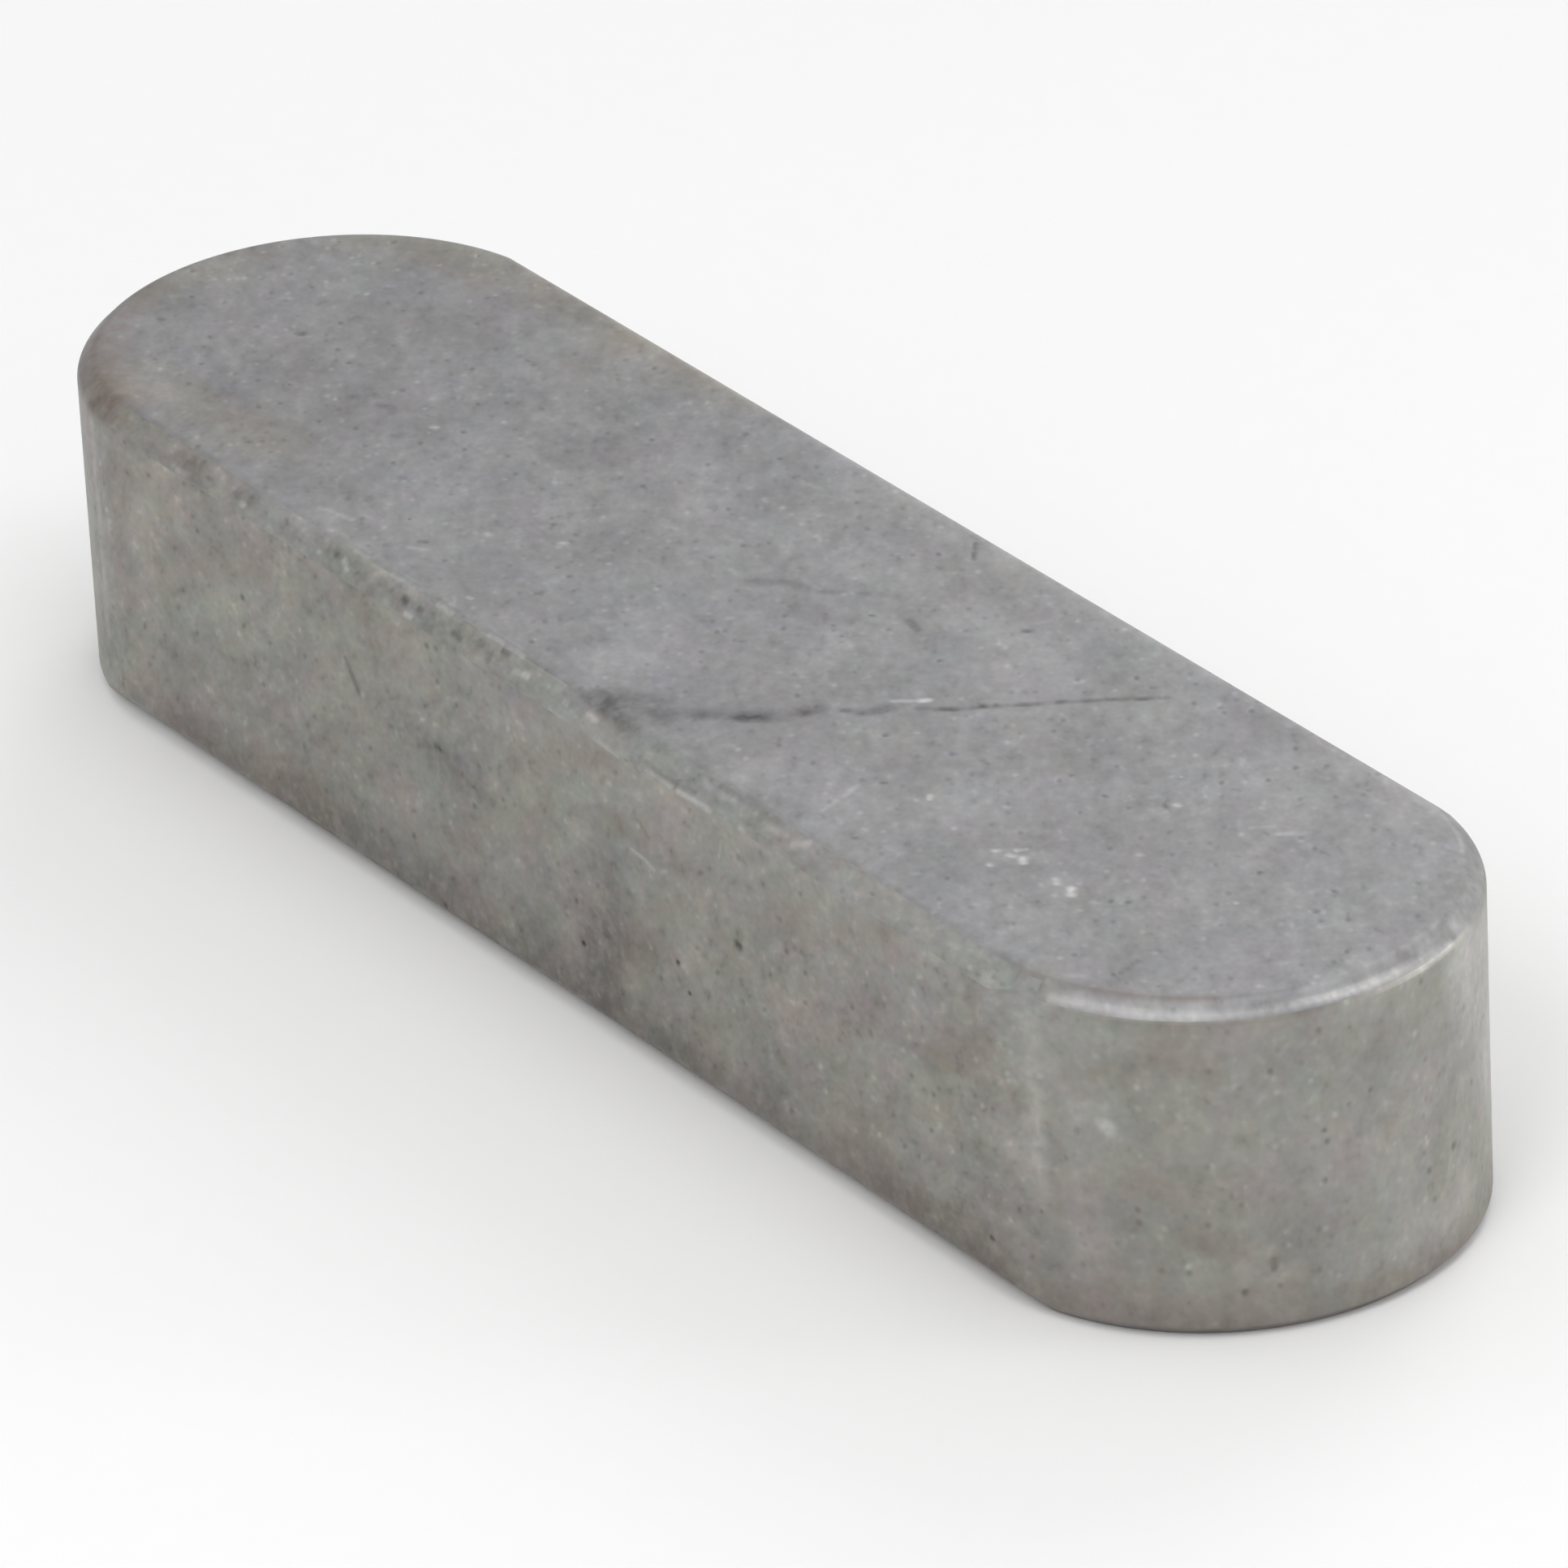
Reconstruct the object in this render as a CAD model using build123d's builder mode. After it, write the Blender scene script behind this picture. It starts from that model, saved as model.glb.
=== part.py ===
from build123d import *
import os

os.makedirs("parts", exist_ok=True)

# Parallel key, 12 x 8 x 45 mm, round at both ends: a length of drawn bright key
# steel, chamfered along its four long edges and milled to a half circle at each end.
# It lies in the keyways of a shaft and a hub and turns the one with the other.
#
# All sizes are in millimetres.  The key lies on one broad face: X runs along its
# length, Y across it and Z up, and the origin is the middle of the face it lies on.

# --- sizes of the key --------------------------------------------------------------
key_width = 12.0       # across the flanks, the fit between the keyway's side walls
key_height = 8.0       # from broad face to broad face
key_length = 45.0      # over the two round ends

# --- edges ---------------------------------------------------------------------------
bar_chamfer = 0.5      # 45 degree chamfer drawn along the bar's four long edges
top_break = 0.4        # filed round the upper rims of the milled ends, by hand
bottom_break = 0.25    # the lower rims are only just broken


# --- the milled outline ----------------------------------------------------------------
# Both ends are half circles as wide as the bar, and their rims are broken by hand.
with BuildPart() as milled_outline:
    with BuildSketch(Plane.XY):
        SlotOverall(key_length, key_width)
    extrude(amount=key_height)
    chamfer(milled_outline.faces().sort_by(Axis.Z)[-1].edges(), length=top_break)
    chamfer(milled_outline.faces().sort_by(Axis.Z)[0].edges(), length=bottom_break)

# --- the key ------------------------------------------------------------------------------
# The drawn bar has one section from end to end, so its chamfers run straight out
# through the round ends and die away on them.
with BuildPart() as key:
    with BuildSketch(Plane.YZ.offset(-key_length / 2)) as bar_section:
        with Locations((0, key_height / 2)):
            Rectangle(key_width, key_height)
        chamfer(bar_section.vertices(), length=bar_chamfer)
    extrude(amount=key_length)
    add(milled_outline.part, mode=Mode.INTERSECT)

key.part.label = "parallel_key"
export_step(key.part, "parts/parallel_key.step")
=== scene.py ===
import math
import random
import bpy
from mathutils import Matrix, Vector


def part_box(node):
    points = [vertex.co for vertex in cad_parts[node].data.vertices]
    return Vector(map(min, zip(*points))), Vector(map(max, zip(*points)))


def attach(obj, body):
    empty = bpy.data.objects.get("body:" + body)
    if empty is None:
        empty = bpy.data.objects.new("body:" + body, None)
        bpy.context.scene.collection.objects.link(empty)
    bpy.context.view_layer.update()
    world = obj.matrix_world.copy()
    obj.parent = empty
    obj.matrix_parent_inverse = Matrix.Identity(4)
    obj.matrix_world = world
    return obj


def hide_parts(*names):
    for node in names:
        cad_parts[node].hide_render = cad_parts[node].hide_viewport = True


bl_info = {
    "name": "Parallel key",
    "version": (1, 0, 0),
    "blender": (4, 5, 0),
    "location": "View3D > Sidebar > Parallel key",
    "description": "A round-ended steel key, its drawn and milled faces and its small marks, on a pale floor",
    "category": "Object",
}

from collections import namedtuple

import bmesh
import bpy
from bpy.props import FloatProperty, FloatVectorProperty, IntProperty, PointerProperty
from mathutils import Matrix, Vector, kdtree

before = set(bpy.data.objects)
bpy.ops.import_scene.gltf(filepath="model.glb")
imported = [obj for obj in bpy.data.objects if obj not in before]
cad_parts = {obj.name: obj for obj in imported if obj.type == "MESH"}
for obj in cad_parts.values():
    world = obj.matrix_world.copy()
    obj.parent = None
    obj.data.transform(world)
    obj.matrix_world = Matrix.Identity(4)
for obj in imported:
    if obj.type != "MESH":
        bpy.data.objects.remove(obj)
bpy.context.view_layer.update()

NODE = "parallel_key"
BODY = "root"
MM = 0.001

key_low, key_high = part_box(NODE)


class KeySizes(bpy.types.PropertyGroup):
    """The key's form, as drawn, chamfered and milled."""

    length: FloatProperty(
        name="Length", description="Over the two round ends", default=key_high.x - key_low.x, unit="LENGTH"
    )
    width: FloatProperty(
        name="Width", description="Across the flanks", default=key_high.y - key_low.y, unit="LENGTH"
    )
    height: FloatProperty(
        name="Height", description="Between the broad faces", default=key_high.z - key_low.z, unit="LENGTH"
    )
    chamfer: FloatProperty(
        name="Bar chamfer", description="Along the four long edges", default=0.5 * MM, unit="LENGTH"
    )
    edge_radius: FloatProperty(
        name="Edge radius", description="Softness of the chamfers' edges", default=0.35 * MM, unit="LENGTH"
    )
    top_break: FloatProperty(
        name="Top break", description="Filed round the ends' upper rims", default=0.4 * MM, unit="LENGTH"
    )
    bottom_break: FloatProperty(
        name="Bottom break", description="Round the ends' lower rims", default=0.25 * MM, unit="LENGTH"
    )
    top_radius: FloatProperty(
        name="Top radius", description="Softness of the top break's edges", default=0.3 * MM, unit="LENGTH"
    )
    bottom_radius: FloatProperty(
        name="Bottom radius", description="Softness of the bottom break's edges", default=0.1 * MM,
        unit="LENGTH",
    )
    mesh_size: FloatProperty(
        name="Mesh size", description="Size of the mesh's squares away from the marks", default=0.25 * MM,
        unit="LENGTH",
    )
    pits: IntProperty(name="Pits", description="Small dark pits scattered over the key", default=190)
    flecks: IntProperty(name="Flecks", description="Small bright nicks scattered over the key", default=130)


# --- the form ------------------------------------------------------------------------------------

BREAK_SEGMENTS = 4
CHAMFER_FACETS = 4
EDGE_BAND = 1.5  # millimetres from a long edge that its chamfer's planes may cut


def profile_wire(bm, x, sizes, step):
    """Half of the milled blank's section, a wire from the middle of its top to that of its bottom."""
    half_width, height = sizes.width / 2 / MM, sizes.height / MM
    top, bottom = sizes.top_break / MM, sizes.bottom_break / MM
    corners = [
        (0.0, height),
        (half_width - top, height),
        (half_width, height - top),
        (half_width, bottom),
        (half_width - bottom, 0.0),
        (0.0, 0.0),
    ]
    verts = [bm.verts.new((x, -y, z)) for y, z in corners]
    for a, b in zip(verts, verts[1:]):
        bm.edges.new((a, b))
    for pair, radius in ((verts[1:3], sizes.top_radius / MM), (verts[3:5], sizes.bottom_radius / MM)):
        bmesh.ops.bevel(
            bm, geom=pair, offset=radius * math.tan(math.radians(22.5)), offset_type="OFFSET",
            segments=BREAK_SEGMENTS, profile=0.5, affect="VERTICES", material=-1,
        )
    for edge in [e for e in bm.edges if e.calc_length() > 2 * step]:
        bmesh.ops.subdivide_edges(bm, edges=[edge], cuts=round(edge.calc_length() / step) - 1)
    return bm.verts[:] + bm.edges[:]


def run_straight(bm, geom, shift):
    """Draws a section out along the key, in one long step."""
    edges = [g for g in geom if isinstance(g, bmesh.types.BMEdge)]
    made = bmesh.ops.extrude_edge_only(bm, edges=edges)["geom"]
    ring = [g for g in made if isinstance(g, bmesh.types.BMVert)]
    bmesh.ops.translate(bm, verts=ring, vec=(shift, 0, 0))
    return ring + list(dict.fromkeys(e for v in ring for e in v.link_edges if e.other_vert(v) in ring))


def milled_blank(bm, sizes, step):
    """The blank as milled: its section turned round each end and drawn straight between them."""
    half_width = sizes.width / 2 / MM
    half_run = sizes.length / 2 / MM - half_width
    turns = 2 * round(math.pi * half_width / step / 2)
    section = profile_wire(bm, half_run, sizes, step)
    for side in (1, -1):
        turned = bmesh.ops.spin(
            bm, geom=section, cent=(side * half_run, 0, 0), axis=(0, 0, 1), angle=math.pi, steps=turns,
            use_duplicate=False,
        )["geom_last"]
        section = run_straight(bm, turned, -2 * side * half_run)
    bmesh.ops.remove_doubles(bm, verts=bm.verts[:], dist=1e-4)


def cut(bm, faces, point, normal, clear=False):
    """Cuts some faces with a plane; gives the cut's edges and the faces as they now are."""
    verts = dict.fromkeys(v for f in faces for v in f.verts)
    edges = dict.fromkeys(e for f in faces for e in f.edges)
    made = bmesh.ops.bisect_plane(
        bm, geom=[*verts, *edges, *faces], dist=1e-5, plane_co=point, plane_no=normal, clear_outer=clear
    )
    edges = [g for g in made["geom_cut"] if isinstance(g, bmesh.types.BMEdge)]
    return edges, [g for g in made["geom"] if isinstance(g, bmesh.types.BMFace)]


def drawn_section(bm, sizes, step):
    """Planes off the blank's long edges the way the bar was drawn: a chamfer with soft edges."""
    half_width, height = sizes.width / 2 / MM, sizes.height / MM
    chamfer, radius = sizes.chamfer / MM, sizes.edge_radius / MM
    inset = chamfer + radius * (math.sqrt(2) - 1)
    is_strip = bm.faces.layers.int.new("strip")
    for side in (1, -1):
        for level in (1, -1):
            turn = Vector((1, side, level))
            faces = [
                f for f in bm.faces
                if any(
                    v.co.y * side > half_width - EDGE_BAND
                    and (v.co.z - height / 2) * level > height / 2 - EDGE_BAND
                    for v in f.verts
                )
            ]
            for i in range(1, 2 * CHAMFER_FACETS):
                angle = math.pi / 4 * i / CHAMFER_FACETS
                if i < CHAMFER_FACETS:
                    centre = Vector((0, half_width - radius, height / 2 - inset))
                else:
                    centre = Vector((0, half_width - inset, height / 2 - radius))
                normal = Vector((0, math.cos(angle), math.sin(angle)))
                point = (centre + normal * radius) * turn + Vector((0, 0, height / 2))
                edges, faces = cut(bm, faces, point, normal * turn, clear=True)
                for strip in bmesh.ops.holes_fill(bm, edges=edges, sides=0)["faces"]:
                    strip[is_strip] = 1
                    faces.append(strip)
    half_run = sizes.length / 2 / MM - half_width
    strips = [f for f in bm.faces if f[is_strip]]
    for side in (1, -1):
        for i in range(math.ceil(half_width / 2 / step)):
            strips = cut(bm, strips, Vector((side * (half_run + i * step), 0, 0)), Vector((1, 0, 0)))[1]
    long_edges = [e for e in bm.edges if e.calc_length() > 2 * half_run - step]
    bmesh.ops.subdivide_edges(bm, edges=long_edges, cuts=round(2 * half_run / step) - 1)


# --- marks ----------------------------------------------------------------------------------------
# Each lies along a path of places on one face: on the broad face x and y, on the near flank x and
# z, on the near chamfer x and the share across it from the top, on the ends the angle round them in
# degrees and z, on the ends' upper rim the angle and the share across it from outside (over 1 is on
# the broad face). Lengths are in millimetres. A mark's width is from its middle to its edge.

FINEST_GRAIN = 0.04
NO_GRAIN = 9.0  # coarser than the mesh anywhere, so that it stays as it is
Mark = namedtuple("Mark", "path width depth dark fresh brown flank grain")


def dent(path, width, dark=0.0, fresh=0.0, brown=0.0, depth=0.07):
    """A small mark that is pressed in; its depth is given as a share of its width."""
    return Mark(path, width, depth * width, dark, fresh, brown, 0.0, max(width * 0.4, FINEST_GRAIN))


def flat_mark(path, width, dark=0.0, fresh=0.0, brown=0.0):
    """A small mark in colour only."""
    return dent(path, width, dark, fresh, brown, depth=0.0)


def soft_patch(path, width, dark=0.0, fresh=0.0, brown=0.0, flank=0.0):
    """A broad soft patch of colour, or of the flank's own finish."""
    return Mark(path, width, 0.0, dark, fresh, brown, flank, NO_GRAIN)


TOP_MARKS = [
    # the gouge at the chamfer, where the long scratch begins
    dent([(1.6, -5.35), (2.5, -5.5), (3.4, -5.62)], 0.4, dark=0.38, depth=0.06),
    dent([(1.75, -5.0), (2.3, -4.75), (2.9, -4.35)], 0.36, dark=0.3, depth=0.06),
    dent([(2.2, -5.2), (2.9, -5.0), (3.5, -4.9)], 0.6, dark=0.3, brown=0.1, depth=0.03),
    dent([(3.2, -4.7), (3.9, -4.2)], 0.36, dark=0.2, depth=0.03),
    # the long scratch itself, broad and dark at first, then a broken thin line
    dent([(3.95, -4.05), (4.4, -3.65), (4.75, -3.3)], 0.42, dark=0.3, depth=0.06),
    dent([(4.6, -3.5), (5.05, -2.95), (5.25, -2.45)], 0.42, dark=0.36, depth=0.06),
    dent([(5.25, -2.4), (5.42, -2.05)], 0.28, dark=0.28, depth=0.05),
    dent([(5.78, -1.68), (5.84, -1.6)], 0.18, dark=0.4),
    dent([(6.1, -1.4), (6.28, -1.08), (6.27, -0.85)], 0.3, dark=0.42, depth=0.06),
    dent([(6.15, -0.55), (6.4, -0.25)], 0.13, fresh=0.3),
    dent([(6.52, -0.1), (6.62, 0.05)], 0.16, fresh=0.62),
    dent([(6.76, -0.39), (7.29, 0.2), (8.04, 1.37), (8.89, 2.68), (9.85, 4.05)], 0.16, dark=0.26,
         depth=0.04),
    dent([(7.1, 0.0), (7.3, 0.2)], 0.2, dark=0.26),
    dent([(7.5, 0.62), (7.6, 0.8)], 0.19, dark=0.24),
    dent([(8.05, 1.4), (8.28, 1.75)], 0.17, dark=0.2),
    dent([(8.5, 2.1), (8.56, 2.22)], 0.17, dark=0.32),
    dent([(8.86, 2.65), (8.92, 2.75)], 0.14, dark=0.25),
    dent([(9.15, 3.05), (9.2, 3.15)], 0.14, dark=0.25),
    dent([(9.55, 3.55), (9.62, 3.65)], 0.14, dark=0.25),
    # smears, ticks and pits
    flat_mark([(-0.4, 0.35), (0.0, 0.85), (0.6, 1.05)], 0.32, dark=0.2, brown=0.12),
    flat_mark([(0.95, 1.25), (1.25, 1.54)], 0.2, dark=0.18),
    flat_mark([(1.6, 1.86), (1.7, 1.95)], 0.18, dark=0.2),
    flat_mark([(1.95, 2.18), (2.2, 2.4)], 0.18, dark=0.18),
    soft_patch([(0.7, 0.4), (2.2, 0.6)], 0.7, dark=0.07, brown=0.1),
    dent([(5.38, 3.55), (5.42, 3.6)], 0.18, dark=0.5),
    dent([(3.3, 1.88), (3.6, 1.82), (3.8, 1.76)], 0.17, dark=0.34),
    dent([(2.58, 1.4), (2.62, 1.42)], 0.1, dark=0.4),
    dent([(1.3, 5.2), (1.9, 4.7)], 0.1, dark=0.4),
    dent([(9.0, -2.95), (9.05, -2.9)], 0.11, dark=0.4),
    dent([(13.78, 1.05), (13.82, 1.05)], 0.12, dark=0.4),
    dent([(12.57, 0.35), (12.61, 0.35)], 0.1, dark=0.35),
    dent([(-6.85, -4.2), (-6.75, -4.12)], 0.15, dark=0.4),
    flat_mark([(-13.1, -1.1), (-12.8, -0.95), (-12.5, -1.1)], 0.2, dark=0.22),
    flat_mark([(-11.6, -1.7), (-11.3, -1.4)], 0.22, dark=0.24),
    dent([(-17.36, -0.46), (-17.28, -0.4)], 0.19, dark=0.45),
    dent([(-20.08, -2.5), (-20.04, -2.48)], 0.15, dark=0.35),
    dent([(-17.96, 2.4), (-17.9, 2.42)], 0.13, dark=0.35),
    # bright dashes and nicks
    dent([(9.2, -4.6), (9.05, -4.1)], 0.13, fresh=0.13),
    dent([(8.98, -3.9), (8.8, -3.4)], 0.13, fresh=0.14),
    dent([(16.35, 2.2), (16.75, 2.74)], 0.16, fresh=0.17),
    dent([(15.75, 1.9), (16.0, 2.3)], 0.12, fresh=0.12, depth=0.05),
    dent([(-9.7, -4.95), (-9.35, -4.87)], 0.15, fresh=0.17),
    dent([(-9.1, -4.8), (-8.75, -4.75)], 0.15, fresh=0.22),
    dent([(-6.75, -4.5), (-6.4, -4.25)], 0.15, fresh=0.19),
    dent([(-11.35, -0.77), (-11.3, -0.73)], 0.15, fresh=0.32),
    dent([(-4.7, -1.8), (-4.66, -1.76)], 0.14, fresh=0.3),
    dent([(0.65, -1.05), (0.69, -1.0)], 0.13, fresh=0.26),
    dent([(13.44, -3.33), (13.48, -3.33)], 0.12, fresh=0.35),
    dent([(13.03, -2.86), (13.07, -2.82)], 0.13, fresh=0.38),
    dent([(13.38, -2.74), (13.46, -2.72)], 0.14, fresh=0.34),
    dent([(13.84, -2.72), (13.66, -2.6)], 0.15, fresh=0.46),
    dent([(13.3, -2.5), (13.4, -2.34)], 0.12, fresh=0.3),
    soft_patch([(13.0, -3.1), (13.7, -2.5)], 0.5, fresh=0.1),
    dent([(15.03, -2.73), (14.87, -2.61)], 0.14, fresh=0.38),
    dent([(15.64, -2.8), (15.4, -2.62)], 0.16, fresh=0.56),
    soft_patch([(15.6, -2.8), (15.0, -2.6)], 0.45, fresh=0.1),
    dent([(16.2, -2.58), (16.28, -2.54)], 0.14, fresh=0.12),
    dent([(10.27, -2.57), (10.14, -2.48)], 0.12, fresh=0.36),
    dent([(11.6, -1.54), (11.64, -1.52)], 0.13, fresh=0.18),
    dent([(13.9, 1.3), (13.95, 1.32)], 0.14, fresh=0.34),
    dent([(15.14, -0.64), (15.18, -0.6)], 0.13, fresh=0.28),
    dent([(12.73, -4.78), (12.77, -4.74)], 0.14, fresh=0.14),
    dent([(14.64, -4.6), (14.68, -4.58)], 0.14, fresh=0.14),
    dent([(-8.66, -5.4), (-8.6, -5.4)], 0.12, fresh=0.25),
    dent([(-3.9, -4.86), (-3.84, -4.86)], 0.12, fresh=0.3),
    dent([(-6.18, -2.81), (-6.1, -2.81)], 0.14, fresh=0.25),
    # broad: brown film and oil near its far end, then darker and brighter patches
    soft_patch([(-19.0, -4.7), (-17.0, -5.0), (-15.5, -5.1)], 0.7, brown=0.08),
    soft_patch([(-21.8, 1.5), (-21.6, -2.5)], 1.2, flank=0.6),
    soft_patch([(-20.6, 3.6), (-18.4, 5.2), (-8.0, 5.6)], 1.5, flank=0.9),
    soft_patch([(-18.0, -4.4), (-13.0, -4.2)], 1.3, flank=0.6),
    soft_patch([(-18.9, 4.1), (-17.0, 4.3)], 0.9, brown=0.25),
    soft_patch([(-16.4, -4.1), (-13.0, -3.5)], 1.0, brown=0.12),
    soft_patch([(-15.5, 5.4), (-9.0, 5.7)], 0.9, brown=0.2),
    soft_patch([(-15.0, 3.5), (-14.0, -3.5)], 2.6, dark=0.06, brown=0.04),
    soft_patch([(-11.8, 3.7), (-12.1, 4.9)], 1.0, brown=0.2),
    soft_patch([(-19.4, 4.4), (-17.0, 5.0)], 1.0, dark=0.08),
    soft_patch([(-17.2, -1.0), (-16.8, -1.0)], 1.1, dark=0.06),
    soft_patch([(-14.4, 5.0), (-13.6, 5.0)], 1.1, dark=0.13),
    soft_patch([(-11.0, 0.9), (-7.6, 0.9)], 1.2, dark=0.07),
    soft_patch([(-9.3, 2.9), (-9.1, 4.4)], 1.0, dark=0.12),
    soft_patch([(-9.0, 0.5), (-7.5, 3.0)], 1.6, dark=0.06),
    soft_patch([(-8.6, 3.0), (-7.4, 3.0)], 1.2, dark=0.03),
    soft_patch([(-8.6, 1.0), (-7.4, 1.0)], 1.2, dark=0.05),
    soft_patch([(9.6, 5.0), (10.4, 5.0)], 1.0, dark=0.1),
    soft_patch([(11.9, -3.5), (11.9, -2.5)], 1.0, dark=0.05),
    soft_patch([(15.6, -4.8), (18.4, -4.4)], 1.0, dark=0.07),
    soft_patch([(15.8, -3.0), (16.2, -3.0)], 1.0, dark=0.06),
    soft_patch([(-20.4, -2.9), (-19.2, -4.6), (-17.0, -4.6)], 0.9, fresh=0.055),
    soft_patch([(-5.5, 5.2), (6.5, 5.2)], 0.9, fresh=0.075),
    soft_patch([(-5.4, -3.3), (-4.6, -2.7)], 1.2, fresh=0.035),
    soft_patch([(-2.2, -1.0), (-1.8, -1.0)], 1.1, fresh=0.035),
    soft_patch([(0.3, -4.4), (1.0, -3.7)], 0.9, fresh=0.12),
    soft_patch([(0.8, -5.0), (1.4, -4.7)], 0.9, fresh=0.06),
    soft_patch([(3.6, 1.2), (4.4, 0.8)], 1.2, fresh=0.045),
    soft_patch([(4.0, 3.2), (7.4, 3.2)], 1.2, fresh=0.075),
    soft_patch([(6.6, -4.9), (7.4, -4.7)], 1.0, fresh=0.045),
    soft_patch([(6.8, -4.9), (10.4, -3.4)], 1.0, fresh=0.045),
    soft_patch([(9.8, 3.0), (10.2, 3.0)], 1.1, fresh=0.045),
    soft_patch([(15.8, 3.0), (16.2, 1.0)], 1.2, fresh=0.045),
]

CHAMFER_MARKS = [
    # dark along its middle, bright in dashes along both its edges
    soft_patch([(-12.5, 0.4), (-8.4, 0.35), (-5.3, 0.5), (-1.5, 0.4)], 0.26, dark=0.17),
    soft_patch([(-1.5, 0.1), (9.0, 0.15)], 0.14, dark=0.1),
    flat_mark([(4.1, 0.76), (5.2, 0.86), (6.2, 0.76)], 0.1, dark=0.2),
    flat_mark([(-7.93, 0.49), (-7.87, 0.49)], 0.14, dark=0.3),
    flat_mark([(-5.2, 0.5), (-5.1, 0.54)], 0.14, dark=0.3, brown=0.3),
    flat_mark([(-4.6, 0.52), (-4.5, 0.55)], 0.13, dark=0.25, brown=0.2),
    flat_mark([(-3.2, 0.6), (-2.9, 0.64)], 0.13, dark=0.3),
    flat_mark([(-1.8, 0.75), (-1.72, 0.75)], 0.12, dark=0.3),
    flat_mark([(-1.5, 0.23), (-1.3, 0.23)], 0.12, dark=0.25),
    flat_mark([(-7.5, 0.05), (-7.0, 0.02)], 0.1, fresh=0.16),
    flat_mark([(-6.0, 0.05), (-5.15, 0.03)], 0.11, fresh=0.18),
    flat_mark([(-4.15, 0.08), (-3.62, 0.1)], 0.13, fresh=0.25),
    flat_mark([(-2.2, 0.03), (-1.7, 0.02), (-0.85, 0.02)], 0.11, fresh=0.22),
    flat_mark([(-7.6, 0.5), (-7.35, 0.68)], 0.13, fresh=0.3),
    flat_mark([(-4.9, 0.9), (-4.7, 0.88)], 0.12, fresh=0.25),
    flat_mark([(-0.85, 0.6), (-0.6, 0.54)], 0.12, fresh=0.15),
    flat_mark([(-0.5, 0.52), (-0.36, 0.5)], 0.14, fresh=0.33),
    flat_mark([(1.1, 0.54), (1.18, 0.54)], 0.12, fresh=0.28),
    flat_mark([(1.97, 0.48), (2.3, 0.48)], 0.15, fresh=0.24),
    flat_mark([(6.4, 0.4), (7.35, 0.36)], 0.12, fresh=0.1),
    flat_mark([(7.32, 0.36), (7.42, 0.36)], 0.13, fresh=0.16),
    flat_mark([(7.95, 0.95), (8.05, 0.97)], 0.13, fresh=0.25),
    flat_mark([(8.5, 0.4), (9.0, 0.43)], 0.12, fresh=0.14),
    flat_mark([(9.65, 0.56), (10.03, 0.18)], 0.12, fresh=0.22),
    flat_mark([(-14.15, 0.92), (-13.85, 0.94)], 0.13, fresh=0.2, brown=0.2),
    flat_mark([(-11.65, 0.7), (-11.5, 0.72)], 0.12, fresh=0.16),
    # broad: brown film at its far end, then darker and brighter lengths
    soft_patch([(-18.0, 0.5), (-15.0, 0.5), (-13.4, 0.45)], 0.42, dark=0.2, brown=0.35),
    soft_patch([(-13.8, 0.6), (-9.4, 0.65)], 0.34, dark=0.12),
    soft_patch([(-10.0, 0.75), (-2.5, 0.78)], 0.28, dark=0.15),
    soft_patch([(-9.5, 0.5), (-6.5, 0.5)], 0.25, dark=0.09),
    soft_patch([(-2.2, 0.5), (1.6, 0.5)], 0.5, dark=0.16),
    soft_patch([(4.5, 0.75), (14.0, 0.78)], 0.28, dark=0.08),
    soft_patch([(11.0, 0.5), (16.5, 0.5)], 0.3, dark=0.07),
    # painted light along its upper edge, where the rounded edge renders darker
    soft_patch([(-13.0, -0.05), (16.5, -0.05)], 0.22, fresh=0.1),
]

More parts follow.
